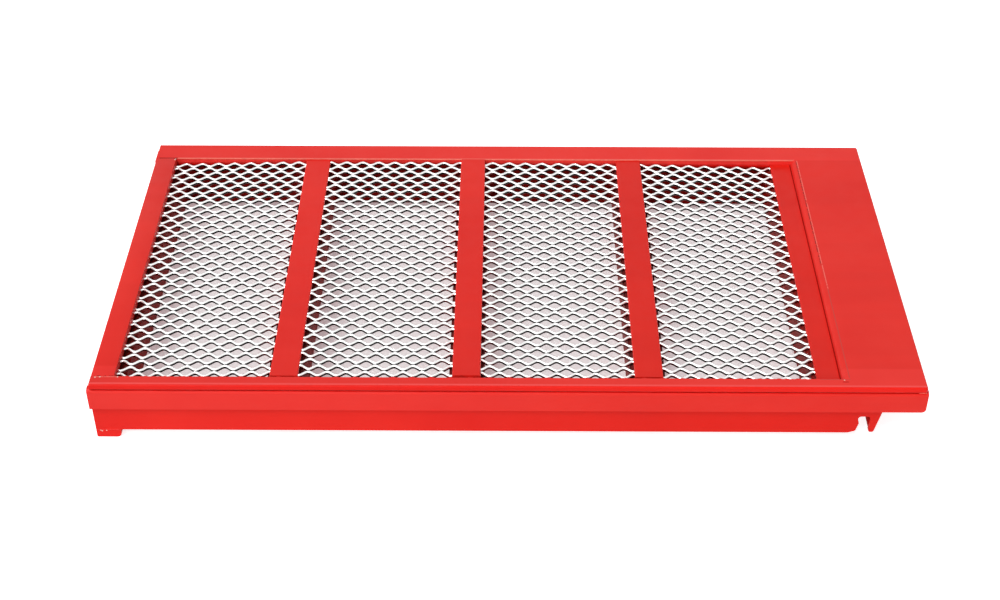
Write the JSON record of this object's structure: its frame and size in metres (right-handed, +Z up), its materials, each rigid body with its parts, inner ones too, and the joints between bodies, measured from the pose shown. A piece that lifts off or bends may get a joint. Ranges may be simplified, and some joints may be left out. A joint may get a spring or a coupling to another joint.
{
  "type": "self-cleaning screen panel",
  "caption": "Painted steel frame clamping a crowned diamond mesh of wavy wires, with a wide discharge plate, hook slots and foot lugs.",
  "frame": {"origin": "middle of the panel in plan, at the level of the foot lugs' undersides", "axes": "+X along the wires towards the discharge plate, +Y from the hand side seen in the picture to the far side, +Z up from the feet to the deck"},
  "size_m": [1, 0.52, 0.087],
  "materials": {
    "red_paint": "brushed-on and sprayed semi-gloss red over welded steel",
    "bright_wire": "bright drawn wire"
  },
  "bodies": {
    "root": {"top_cover_plate": "red_paint", "left_end_rail": "red_paint", "cross_rib_1": "red_paint", "cross_rib_2": "red_paint", "cross_rib_3": "red_paint", "end_clamp_bar": "red_paint", "feed_end_tube": "red_paint", "cross_tube_1": "red_paint", "cross_tube_2": "red_paint", "cross_tube_3": "red_paint", "discharge_tube": "red_paint", "rear_inner_wall": "red_paint", "front_side_angle": "red_paint", "rear_side_angle": "red_paint", "front_side_plate": "red_paint", "rear_side_plate": "red_paint", "front_hook_doubler": "red_paint", "rear_hook_doubler": "red_paint", "front_foot_lug": "red_paint", "rear_foot_lug": "red_paint", "wavy_wires": "bright_wire"}
  },
  "joints": []
}
